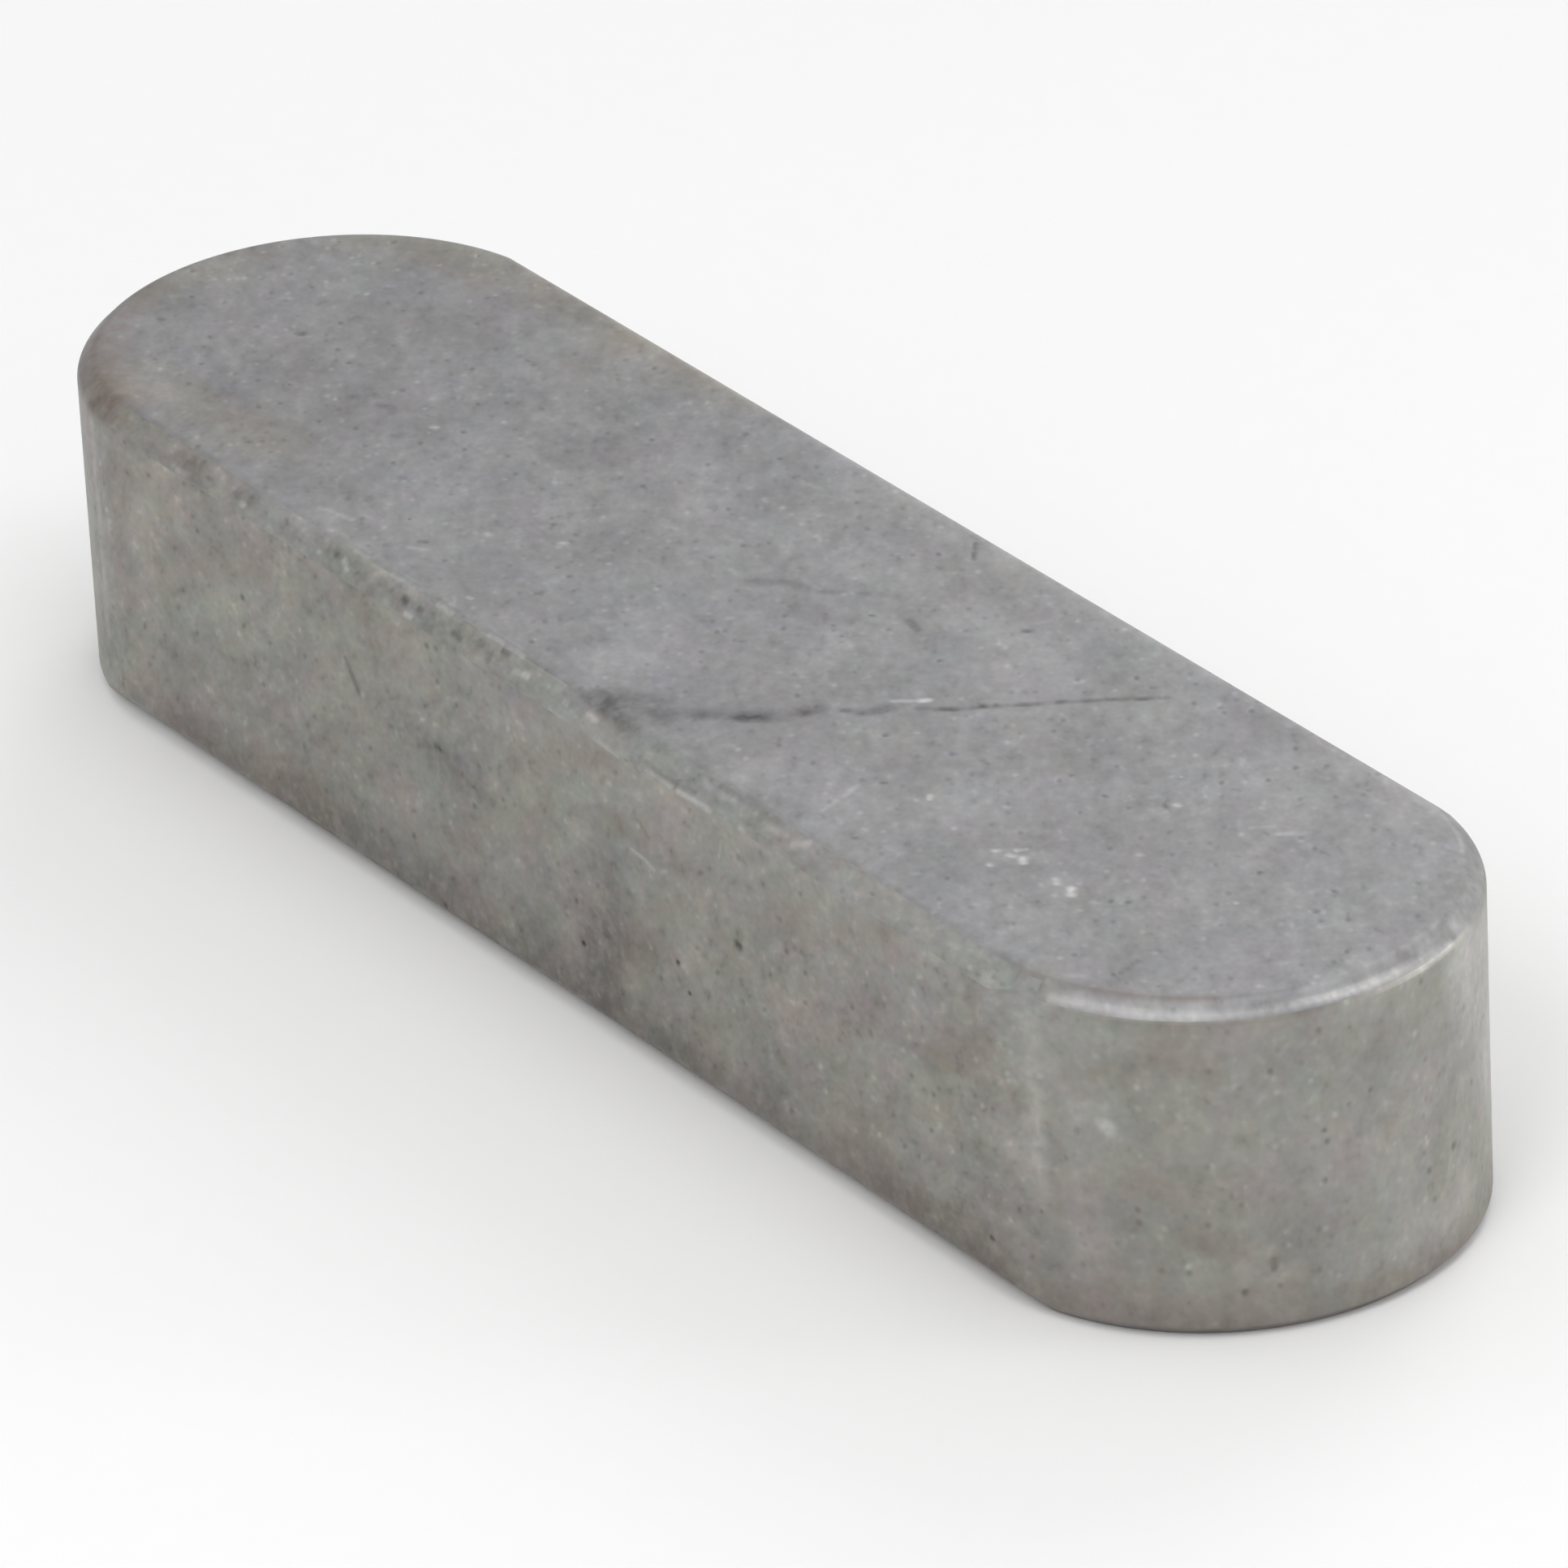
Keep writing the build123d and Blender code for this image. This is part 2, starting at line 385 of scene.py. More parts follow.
FLANK_MARKS = [
    # brighter just under the chamfer
    dent([(2.5, 7.5), (3.4, 7.4)], 0.1, fresh=0.13, depth=0.05),
    dent([(4.25, 7.46), (5.4, 7.5)], 0.13, fresh=0.16, depth=0.05),
    dent([(5.65, 7.47), (6.3, 7.5), (6.85, 7.5)], 0.12, fresh=0.26, depth=0.05),
    # a scratch, pits and nicks
    flat_mark([(-7.45, 5.45), (-7.2, 5.1), (-6.95, 4.75)], 0.15, dark=0.28),
    dent([(7.68, 4.55), (7.74, 4.55)], 0.19, dark=0.72),
    dent([(5.3, 3.1), (5.33, 3.1)], 0.11, dark=0.7),
    dent([(1.6, 2.0), (1.63, 2.0)], 0.11, dark=0.7),
    dent([(5.7, 2.5), (5.72, 2.5)], 0.09, dark=0.6),
    dent([(16.7, 1.3), (16.75, 1.3)], 0.11, dark=0.65),
    dent([(-11.66, 5.3), (-11.62, 5.3)], 0.13, dark=0.5),
    dent([(-13.38, 6.3), (-13.34, 6.3)], 0.1, dark=0.4),
    dent([(-3.9, 4.65), (-3.8, 4.65)], 0.13, dark=0.5),
    dent([(-11.02, 3.33), (-10.98, 3.33)], 0.1, dark=0.4),
    dent([(3.73, 5.24), (4.2, 5.2), (4.56, 5.08)], 0.1, fresh=0.2),
    dent([(7.24, 6.9), (7.12, 6.5)], 0.1, fresh=0.18),
    dent([(-4.04, 7.13), (-4.0, 7.13)], 0.12, dark=0.45),
    dent([(-3.68, 7.2), (-3.62, 7.21)], 0.12, dark=0.4),
    dent([(7.88, 6.78), (8.15, 6.76)], 0.13, dark=0.35),
    dent([(2.7, 6.5), (2.8, 6.62)], 0.14, dark=0.35, brown=0.2),
    dent([(3.25, 6.93), (3.31, 6.98)], 0.12, dark=0.3),
    dent([(3.2, 6.0), (3.4, 5.47)], 0.17, dark=0.1, brown=0.4, depth=0.05),
    dent([(3.95, 6.1), (4.41, 5.83)], 0.15, dark=0.08, brown=0.35, depth=0.05),
    dent([(9.28, 5.87), (9.34, 5.87)], 0.13, dark=0.35),
    dent([(12.0, 6.75), (12.1, 6.7)], 0.15, dark=0.2, brown=0.2),
    # broad: brown film in patches, and along its foot brown film with painted shade, then darker and brighter
    # patches
    soft_patch([(-15.2, 4.7), (-10.8, 6.6)], 0.9, brown=0.25),
    soft_patch([(-14.5, 0.2), (16.5, 0.1)], 2.0, dark=0.2, brown=0.3),
    soft_patch([(-11.5, 1.5), (-9.0, 1.4)], 0.8, brown=0.2),
    soft_patch([(-1.6, 3.8), (-0.4, 4.2)], 0.9, brown=0.2),
    soft_patch([(0.9, 6.5), (2.9, 7.0)], 0.75, brown=0.3),
    soft_patch([(2.4, 1.3), (5.4, 4.6)], 0.7, brown=0.22),
    soft_patch([(2.9, 4.4), (3.0, 3.4), (2.3, 2.0)], 1.1, dark=0.26, brown=0.1),
    soft_patch([(3.0, 5.6), (4.2, 5.9)], 0.7, brown=0.25),
    soft_patch([(9.2, 5.95), (10.7, 6.35), (13.3, 7.0)], 0.8, brown=0.34),
    soft_patch([(11.0, 1.4), (14.0, 0.9)], 1.0, brown=0.25),
    soft_patch([(14.9, 4.8), (16.4, 6.2)], 0.9, brown=0.3),
    soft_patch([(-16.4, 1.0), (-12.6, 1.0)], 1.1, dark=0.09),
    soft_patch([(-14.6, 2.4), (-6.4, 1.4)], 0.9, dark=0.045),
    soft_patch([(-10.4, 2.5), (-6.6, 2.5)], 1.0, dark=0.06),
    # painted shade low on the flank, towards its foot
    soft_patch([(-9.5, 0.8), (-3.0, 0.8), (5.0, 0.6)], 2.0, dark=0.13),
    soft_patch([(-7.6, 7.2), (-6.4, 7.2)], 0.8, dark=0.08),
    soft_patch([(-7.4, 5.5), (-6.6, 5.5)], 1.0, dark=0.05),
    soft_patch([(-5.1, 4.45), (-3.8, 4.4), (-2.3, 4.35)], 1.05, dark=0.25),
    soft_patch([(1.6, 2.9), (5.5, 2.4), (11.5, 2.5)], 1.1, dark=0.085),
    soft_patch([(1.7, 1.0), (2.3, 1.0)], 1.0, dark=0.07),
    soft_patch([(1.8, 3.9), (2.0, 1.2)], 1.2, dark=0.08),
    soft_patch([(2.0, 2.5), (5.0, 2.5)], 1.1, dark=0.1),
    soft_patch([(8.2, 7.0), (10.8, 7.0)], 0.7, dark=0.05),
    soft_patch([(13.2, 1.0), (15.0, 1.0)], 1.0, dark=0.13),
    soft_patch([(-13.4, 5.6), (-12.6, 4.6)], 1.0, fresh=0.06),
    # painted light high on the flank, and a painted highlight along the chamfer's lower edge
    soft_patch([(0.0, 6.7), (15.5, 6.7)], 1.3, fresh=0.06),
    soft_patch([(1.0, 7.42), (16.0, 7.42)], 0.25, fresh=0.04),
    soft_patch([(7.6, 5.4), (8.4, 5.4)], 1.0, fresh=0.055),
]

END_MARKS = [
    # the near flank's finish, run out over the first millimetre or so of both ends
    soft_patch([(-74.6, 0.0), (-74.6, 8.0)], 1.3, flank=1.0),
    soft_patch([(254.6, 0.0), (254.6, 8.0)], 1.3, flank=1.0),
    # upright witness lines, then nicks and pits
    soft_patch([(-74, 7.2), (-74, 5.5), (-73.5, 3.1)], 0.42, fresh=0.14),
    soft_patch([(-74, 5.0), (-73.5, 3.6)], 0.3, fresh=0.08),
    soft_patch([(256, 7.3), (256, 1.8)], 0.3, fresh=0.13),
    soft_patch([(-24.5, 4.34), (-23.5, 4.34)], 0.22, fresh=0.16),
    soft_patch([(-30.5, 4.76), (-29.0, 4.76)], 0.24, dark=0.18),
    dent([(-58, 5.0), (-57, 5.0)], 0.26, fresh=0.3, depth=0.05),
    dent([(22, 2.85), (22.4, 2.85)], 0.17, dark=0.46),
    dent([(-24.6, 1.8), (-24.6, 1.6)], 0.14, dark=0.42),
    dent([(-30.7, 1.1), (-30.5, 1.1)], 0.13, dark=0.42),
    # broad: brown film in patches, and along its foot brown film with painted shade, then darker and brighter
    # patches
    soft_patch([(-92, 6.7), (-94, 3.4)], 0.8, brown=0.25),
    soft_patch([(-88, 0.1), (-50, 0.1), (-20, 0.1), (40, 0.0)], 1.7, dark=0.1, brown=0.35),
    soft_patch([(-63, 5.8), (-57, 6.4)], 0.7, brown=0.25),
    soft_patch([(-52, 3.8), (-45, 3.7)], 0.6, brown=0.25),
    soft_patch([(-46, 6.9), (-38, 6.6)], 0.6, brown=0.3),
    soft_patch([(-40, 2.4), (-34, 2.0)], 0.8, brown=0.28),
    soft_patch([(-50, 2.6), (-15, 2.6)], 1.0, dark=0.075),
    soft_patch([(-36, 4.0), (-18, 4.0)], 1.2, dark=0.06),
    soft_patch([(-28, 7.0), (-14, 6.4), (0, 6.0)], 0.9, dark=0.06),
    soft_patch([(-84, 7.2), (-62, 7.0)], 0.9, fresh=0.09),
    soft_patch([(-81, 4.2), (-79, 4.0)], 0.9, fresh=0.07),
    soft_patch([(-68, 5.9), (-62, 5.3)], 0.9, fresh=0.08),
    soft_patch([(-58, 7.0), (-32, 7.0)], 0.6, fresh=0.05),
    soft_patch([(-8, 1.2), (28, 1.3)], 0.9, fresh=0.09),
    soft_patch([(9, 5.6), (11, 5.4)], 0.9, fresh=0.05),
    soft_patch([(20, 1.0), (30, 1.0)], 0.9, fresh=0.04),
    soft_patch([(25, 3.8), (26, 1.2)], 1.0, fresh=0.045),
    # painted highlights on the near end's lit right side, under the rim and down the side
    soft_patch([(26, 7.5), (34, 7.45)], 0.25, fresh=0.12),
    soft_patch([(26, 7.0), (56, 6.9)], 0.8, fresh=0.16),
    soft_patch([(34, 6.2), (45, 5.2), (47, 3.8)], 2.0, fresh=0.26),
]

RIM_MARKS = [
    # the bright line along the near rim's filed break is a painted highlight; darker and browner along the
    # far rim
    flat_mark([(-70, 0.33), (-62, 0.42), (-40, 0.36), (-28, 0.3), (-20, 0.38), (-8, 0.4), (6, 0.36),
          (16, 0.28), (24, 0.15)], 0.17, fresh=0.2),
    flat_mark([(-18, 0.4), (-8, 0.4), (6, 0.36), (16, 0.28), (23, 0.17)], 0.18, fresh=0.22),
    flat_mark([(-13, 0.4), (-8, 0.4), (6, 0.38)], 0.19, fresh=0.28),
    # painted highlight, fading out on the near rim's left and brightest round its lit right side
    soft_patch([(-70, 0.4), (-62, 0.5)], 0.35, fresh=0.15),
    soft_patch([(-15, 0.85), (8, 0.85)], 0.2, fresh=0.13),
    soft_patch([(14, 0.65), (24, 0.65)], 0.28, fresh=0.2),
    soft_patch([(28, 0.5), (44, 0.5)], 0.32, fresh=0.42),
    soft_patch([(46, 0.5), (58, 0.5)], 0.3, fresh=0.25),
    # painted shade, dimming the edge's highlight just inside the rim's lit side
    soft_patch([(28, 1.05), (58, 1.05)], 0.16, dark=0.2),
    soft_patch([(-64, 1.2), (-36, 1.15)], 0.32, brown=0.3),
    flat_mark([(205, 0.5), (225, 0.5)], 0.35, dark=0.12, brown=0.35),
    flat_mark([(228, 0.5), (245, 0.55), (262, 0.6)], 0.55, dark=0.17, brown=0.4),
    soft_patch([(200, 1.4), (225, 1.7), (262, 1.7)], 0.9, dark=0.05, brown=0.4),
]

MARKS = {
    "top": TOP_MARKS, "chamfer": CHAMFER_MARKS, "flank": FLANK_MARKS, "end": END_MARKS, "rim": RIM_MARKS,
}


def place(face, spot, sizes):
    """Where a spot on a face is, in millimetres."""
    half_width, height = sizes.width / 2 / MM, sizes.height / MM
    if face == "top":
        return Vector((spot[0], spot[1], height))
    if face == "flank":
        return Vector((spot[0], -half_width, spot[1]))
    if face == "chamfer":
        chamfer = sizes.chamfer / MM
        return Vector((spot[0], chamfer * (1 - spot[1]) - half_width, height - chamfer * spot[1]))
    turn = math.radians(spot[0])
    centre = math.copysign(sizes.length / 2 / MM - half_width, math.cos(turn))
    if face == "rim":
        rim = sizes.top_break / MM
        radius = half_width - rim * spot[1]
        level = min(height - rim * (1 - spot[1]), height)
    else:
        radius, level = half_width, spot[1]
    return Vector((centre + radius * math.cos(turn), radius * math.sin(turn), level))


def spots(face, item, sizes):
    """Points along a mark on a face, close enough together to cover it."""
    corners = []
    for a, b in zip(item.path, item.path[1:]):
        pieces = max(1, math.ceil(abs(b[0] - a[0]) / 5)) if face in ("end", "rim") else 1
        for i in range(pieces):
            corners.append(place(face, Vector(a).lerp(Vector(b), i / pieces), sizes))
    corners.append(place(face, item.path[-1], sizes))
    found = [corners[0]]
    for a, b in zip(corners, corners[1:]):
        count = max(1, math.ceil((b - a).length / (item.width * 0.5)))
        found += [a.lerp(b, i / count) for i in range(1, count + 1)]
    return found


def tree_of(points):
    tree = kdtree.KDTree(len(points))
    for i, point in enumerate(points):
        tree.insert(point, i)
    tree.balance()
    return tree


SEED = 12845
PIT_RADII, PIT_SHADES, PIT_DEPTH = (0.07, 0.14), (0.12, 0.4), 0.2
FLECK_RADII, FLECK_SHADES, FLECK_DEPTH = (0.07, 0.12), (0.08, 0.25), 0.1
ON_BROAD_FACES, ON_TOP = 0.55, 0.6  # shares of them
CLEAR_OF_EDGE = 0.7


def scattered(sizes):
    """Small pits and nicks all over the key, the same each time."""
    draw = random.Random(SEED)
    half_width, height = sizes.width / 2 / MM, sizes.height / MM
    half_run = sizes.length / 2 / MM - half_width
    around = 2 * math.pi * half_width
    found = []
    for number in range(sizes.pits + sizes.flecks):
        dark = number < sizes.pits
        radius = draw.uniform(*(PIT_RADII if dark else FLECK_RADII))
        if draw.random() < ON_BROAD_FACES:
            x = draw.uniform(-half_run - half_width, half_run + half_width)
            reach = half_width - CLEAR_OF_EDGE
            if abs(x) > half_run:
                reach = math.sqrt(max(half_width ** 2 - (abs(x) - half_run) ** 2, 0)) - CLEAR_OF_EDGE
            if reach <= 0:
                continue
            z = height if draw.random() < ON_TOP else 0.0
            point = Vector((x, draw.uniform(-reach, reach), z))
        else:
            run = draw.uniform(0, 4 * half_run + around)
            z = draw.uniform(0.5, height - 0.8)
            if run < 4 * half_run:
                side = -1 if run < 2 * half_run else 1
                point = Vector((run % (2 * half_run) - half_run, side * half_width, z))
            else:
                turn = (run - 4 * half_run) / half_width - math.pi / 2
                end = 1 if math.cos(turn) > 0 else -1
                point = Vector((end * half_run + half_width * math.cos(turn), half_width * math.sin(turn), z))
        strength = draw.uniform(*(PIT_SHADES if dark else FLECK_SHADES))
        found.append((point, radius, dark, strength))
    return found


HALVINGS = 4
LEEWAY = 1.3  # how much coarser than its mark's grain a square may stay
HALF_DIAGONAL = 0.75  # of a square, with a little to spare


def refine(bm, wanted):
    """Divides the squares under the marks until they are as fine as each mark needs."""
    for level in range(HALVINGS):
        faces = bm.faces[:]
        sizes_now = [max(e.calc_length() for e in f.edges) for f in faces]
        tree = tree_of([f.calc_center_median() for f in faces])
        chosen = set()
        for point, radius, grain in wanted:
            for _, index, away in tree.find_range(point, radius + 0.3):
                size = sizes_now[index]
                near = away < radius + size * HALF_DIAGONAL
                if near and size > grain * LEEWAY and len(faces[index].verts) == 4:
                    chosen.add(index)
        if not chosen:
            break
        edges = list(dict.fromkeys(e for i in sorted(chosen) for e in faces[i].edges))
        bmesh.ops.subdivide_edges(bm, edges=edges, cuts=1, use_grid_fill=True)


def bump_down(away, radius):
    """How deep a dent is, from 1 in its middle to 0 at its rim."""
    t = min(max(away / radius, 0.0), 1.0)
    return (1 - t * t) ** 2


def make_marks(bm, sizes):
    """Dents the marks into the mesh and notes where it is dark, bright or brown; some dark marks are painted
    shade, some bright ones painted highlights.
    """
    layers = {name: bm.verts.layers.float.new(name) for name in ("dark", "fresh", "brown", "flank")}
    runs = [(item, spots(face, item, sizes)) for face, items in MARKS.items() for item in items]
    small = scattered(sizes)
    dents = [(item, points) for item, points in runs if item.grain < NO_GRAIN]
    wanted = [(point, item.width, item.grain) for item, points in dents for point in points]
    wanted += [(point, radius, radius * 0.6) for point, radius, _, _ in small]
    refine(bm, wanted)
    bm.normal_update()
    bm.verts.ensure_lookup_table()
    tree = tree_of([v.co for v in bm.verts])
    depth = {}
    for item, points in runs:
        reach = {}
        for point in points:
            for _, index, away in tree.find_range(point, item.width):
                reach[index] = min(away, reach.get(index, item.width))
        for index, away in reach.items():
            weight = bump_down(away, item.width)
            vert = bm.verts[index]
            for name in layers:
                vert[layers[name]] += weight * getattr(item, name)
            depth[index] = max(depth.get(index, 0.0), weight * item.depth)
    for point, radius, dark, strength in small:
        for _, index, away in tree.find_range(point, radius):
            weight = bump_down(away, radius)
            vert = bm.verts[index]
            vert[layers["dark" if dark else "fresh"]] += weight * strength
            share = PIT_DEPTH if dark else FLECK_DEPTH
            depth[index] = max(depth.get(index, 0.0), weight * radius * share)
    normals = {index: bm.verts[index].normal.copy() for index in depth}
    for index, amount in depth.items():
        bm.verts[index].co -= normals[index] * amount


BROAD_FACE, NEAR_FLANK, MILLED_END, CHAMFER, FAR_FLANK = range(5)
RUN_ON = 1.6  # how far the flanks' finish runs on
FLAT, SLANTED, UPRIGHT = 0.86, 0.5, 0.2  # how far up or down a face looks


def sort_faces(bm, sizes):
    """Gives each face its finish. The flanks' finish runs on a little way round the ends."""
    half_run = (sizes.length - sizes.width) / 2 / MM
    is_strip = bm.faces.layers.int["strip"]
    bm.normal_update()
    for face in bm.faces:
        middle = face.calc_center_median()
        round_end = abs(middle.x) > half_run + RUN_ON
        level = abs(face.normal.z)
        if face[is_strip] and UPRIGHT < level < FLAT:
            face.material_index = CHAMFER
        elif level > (SLANTED if round_end else FLAT):
            face.material_index = BROAD_FACE
        elif round_end:
            face.material_index = MILLED_END
        else:
            face.material_index = NEAR_FLANK if middle.y < 0 else FAR_FLANK


class OBJECT_OT_steel_key(bpy.types.Operator):
    """Builds the key"""

    bl_idname = "object.steel_key"
    bl_label = "Steel key"

    def execute(self, context):
        sizes = context.scene.key_sizes
        bm = bmesh.new()
        milled_blank(bm, sizes, sizes.mesh_size / MM)
        drawn_section(bm, sizes, sizes.mesh_size / MM)
        bmesh.ops.recalc_face_normals(bm, faces=bm.faces[:])
        make_marks(bm, sizes)
        sort_faces(bm, sizes)
        bmesh.ops.scale(bm, vec=(MM, MM, MM), verts=bm.verts[:])
        mesh = bpy.data.meshes.new("steel_key")
        bm.to_mesh(mesh)
        bm.free()
        mesh.shade_smooth()
        mesh.set_sharp_from_angle(angle=math.radians(35))
        piece = bpy.data.objects.new("steel_key", mesh)
        context.scene.collection.objects.link(piece)
        even = piece.modifiers.new("even shading", "WEIGHTED_NORMAL")
        even.keep_sharp = True
        even.weight = 50
        colours = context.scene.key_colours
        for name, colour, grain, run_in in FINISHES:
            mesh.materials.append(steel(name, getattr(colours, colour), colours, grain, run_in))
        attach(piece, BODY)
        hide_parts(NODE)
        return {"FINISHED"}


# --- finishes ----------------------------------------------------------------------------------------


class KeyColours(bpy.types.PropertyGroup):
    """The steel's colours."""

    face: FloatVectorProperty(
        name="Broad faces", description="Cool grey of the drawn broad faces", default=(0.288, 0.2855, 0.2905),
        subtype="COLOR", min=0, max=1,
    )
    flank: FloatVectorProperty(
        name="Flanks", description="Warmer grey of the flanks, under a thin film of oil",
        default=(0.299, 0.289, 0.264), subtype="COLOR", min=0, max=1,
    )
    end: FloatVectorProperty(
        name="Milled ends", description="Grey of the milled round ends", default=(0.302, 0.294, 0.270),
        subtype="COLOR", min=0, max=1,
    )
    chamfer: FloatVectorProperty(
        name="Chamfers", description="Greenish grey of the drawn chamfers", default=(0.300, 0.300, 0.280),
        subtype="COLOR", min=0, max=1,
    )
    # also painted as shade along the feet and just inside the near rim's lit side
    dirt_and_shade: FloatVectorProperty(
        name="Dirt", description="Dirt pressed into dents and scratches", default=(0.060, 0.056, 0.060),
        subtype="COLOR", min=0, max=1,
    )
    # also painted as highlights: on the near rim, the near end's lit side, the chamfer's upper edge and high
    # on the flank
    fresh: FloatVectorProperty(
        name="Fresh metal", description="Bare metal in new nicks", default=(0.72, 0.71, 0.70),
        subtype="COLOR", min=0, max=1,
    )
    brown: FloatVectorProperty(
        name="Brown film", description="Old oil and the first rust", default=(0.250, 0.199, 0.166),
        subtype="COLOR", min=0, max=1,
    )
    roughness: FloatProperty(
        name="Roughness", description="How dull the steel is", default=0.5, subtype="FACTOR"
    )
    metallic: FloatProperty(
        name="Metallic", description="How bare the steel is", default=0.8, subtype="FACTOR"
    )


class Finish:
    """A finish in the making: its nodes, placed from left to right as they are made."""

    def __init__(self, name):
        self.material = bpy.data.materials.new(name)
        self.material.use_nodes = True
        self.tree = self.material.node_tree
        self.shader = self.tree.nodes["Principled BSDF"]
        self.count = 0

    def set(self, socket, value):
        if isinstance(value, bpy.types.NodeSocket):
            self.tree.links.new(value, socket)
        else:
            socket.default_value = value

    def node(self, kind, inputs=(), **settings):
        made = self.tree.nodes.new(kind)
        made.location = (-2400 + 220 * (self.count // 4), 400 - 260 * (self.count % 4))
        self.count += 1
        for name, value in settings.items():
            setattr(made, name, value)
        for name, value in dict(inputs).items():
            self.set(made.inputs[name], value)
        return made

    def math(self, operation, a, b=0.0, clamp=False):
        return self.node("ShaderNodeMath", {0: a, 1: b}, operation=operation, use_clamp=clamp).outputs[0]

    def line(self, value, slope, start):
        """start + slope * value"""
        made = self.node("ShaderNodeMath", {0: value, 1: slope, 2: start}, operation="MULTIPLY_ADD")
        return made.outputs[0]

    def ramp(self, value, low, high, to_low=0.0, to_high=1.0):
        return self.node(
            "ShaderNodeMapRange",
            {"Value": value, "From Min": low, "From Max": high, "To Min": to_low, "To Max": to_high},
            interpolation_type="SMOOTHSTEP",
        ).outputs[0]

    def scale(self, colour, factor):
        return self.node("ShaderNodeVectorMath", {0: colour, 3: factor}, operation="SCALE").outputs[0]

    def times(self, colour, other):
        return self.node("ShaderNodeVectorMath", {0: colour, 1: other}, operation="MULTIPLY").outputs[0]

    def mix(self, factor, a, b):
        made = self.node("ShaderNodeMix", data_type="RGBA")
        self.set(made.inputs[0], factor)
        self.set(made.inputs[6], a)
        self.set(made.inputs[7], b)
        return made.outputs[2]

    def noise(self, place, scale, detail=0.0, roughness=0.5, colour=False):
        made = self.node(
            "ShaderNodeTexNoise", {"Vector": place, "Scale": scale, "Detail": detail, "Roughness": roughness}
        )
        return made.outputs["Color" if colour else "Fac"]

    def mark(self, name):
        return self.node("ShaderNodeAttribute", attribute_name=name, attribute_type="GEOMETRY").outputs["Fac"]


def specks(finish, place, scale, reach, shift):
    """Round soft specks at random places, most of them faint and a few of them strong."""
    moved = finish.node("ShaderNodeVectorMath", {0: place, 1: shift}, operation="ADD").outputs[0]
    cells = finish.node("ShaderNodeTexVoronoi", {"Vector": moved, "Scale": scale}, feature="F1")
    near = finish.ramp(cells.outputs["Distance"], 0.0, reach, 1.0, 0.0)
    pick = finish.node("ShaderNodeSeparateColor", {0: cells.outputs["Color"]}).outputs[0]
    return finish.math("MULTIPLY", near, finish.math("POWER", pick, 3.0))


def speckle(finish, noise, even, strong):
    """A factor about one from noise: even in its middle range, strong where the noise is far off it."""
    off = finish.line(noise, 2.0, -1.0)
    cube = finish.math("MULTIPLY", finish.math("MULTIPLY", off, off), off)
    return finish.line(off, even, finish.line(cube, strong, 1.0))


Grain = namedtuple("Grain", "mottle grit tint stretch turn shift")

FACE_GRAIN = Grain(1.02, 1.07, (0.16, 0.12, 0.2), (0.85, 1.18, 1.0), (0, 0, math.radians(34)), (0, 0, 0))
NEAR_GRAIN = Grain(1.15, 1.3, (0.48, 0.27, 0.34), (0.85, 1.0, 1.18), (0, math.radians(33), 0), (40, 11, 5))
FAR_GRAIN = Grain(1.05, 1.1, (0.42, 0.24, 0.32), (1.1, 1.1, 1.0), (0, 0, 0), (40, 11, 5))
END_GRAIN = Grain(0.95, 0.9, (0.38, 0.22, 0.3), (1.1, 1.1, 1.0), (0, 0, 0), (40, 11, 5))
CHAMFER_GRAIN = Grain(1.2, 1.35, (0.45, 0.26, 0.33), (0.95, 1.4, 1.4), (0, 0, 0), (40, 11, 5))


def grained(finish, where, colour, grain):
    """Mottled grey, faintly tinted in patches, with fine specks; gives its colour and its relief."""
    place = finish.node(
        "ShaderNodeMapping", {"Vector": where, "Scale": (1 / MM,) * 3, "Rotation": grain.turn}
    ).outputs[0]
    place = finish.node(
        "ShaderNodeMapping", {"Vector": place, "Location": grain.shift, "Scale": grain.stretch}
    ).outputs[0]
    cloudy = finish.noise(place, 0.4, detail=4.0, roughness=0.85)
    fine = finish.noise(place, 2.9, detail=2.0, roughness=0.45)
    hue = finish.noise(place, 0.33, detail=4.5, roughness=0.95, colour=True)
    dots = specks(finish, place, 2.6, 0.36, (3.1, 7.7, 1.3))
    glints = specks(finish, place, 2.6, 0.36, (9.2, 2.4, 5.8))
    speckled = speckle(finish, fine, 0.1 * grain.grit, grain.grit)
    clouds = finish.line(cloudy, grain.mottle, 1.0 - grain.mottle / 2)
    mottled = finish.math("MULTIPLY", clouds, speckled)
    dotted = finish.math("MULTIPLY", finish.line(dots, -0.35, 1.0), finish.line(glints, 0.35, 1.0))
    plain = finish.scale(colour, finish.math("MULTIPLY", mottled, dotted))
    tinted = finish.node(
        "ShaderNodeVectorMath", {0: hue, 1: grain.tint, 2: [1 - t / 2 for t in grain.tint]},
        operation="MULTIPLY_ADD",
    ).outputs[0]
    return finish.times(plain, tinted), finish.line(cloudy, 1.5, finish.line(dots, -1.5, fine))


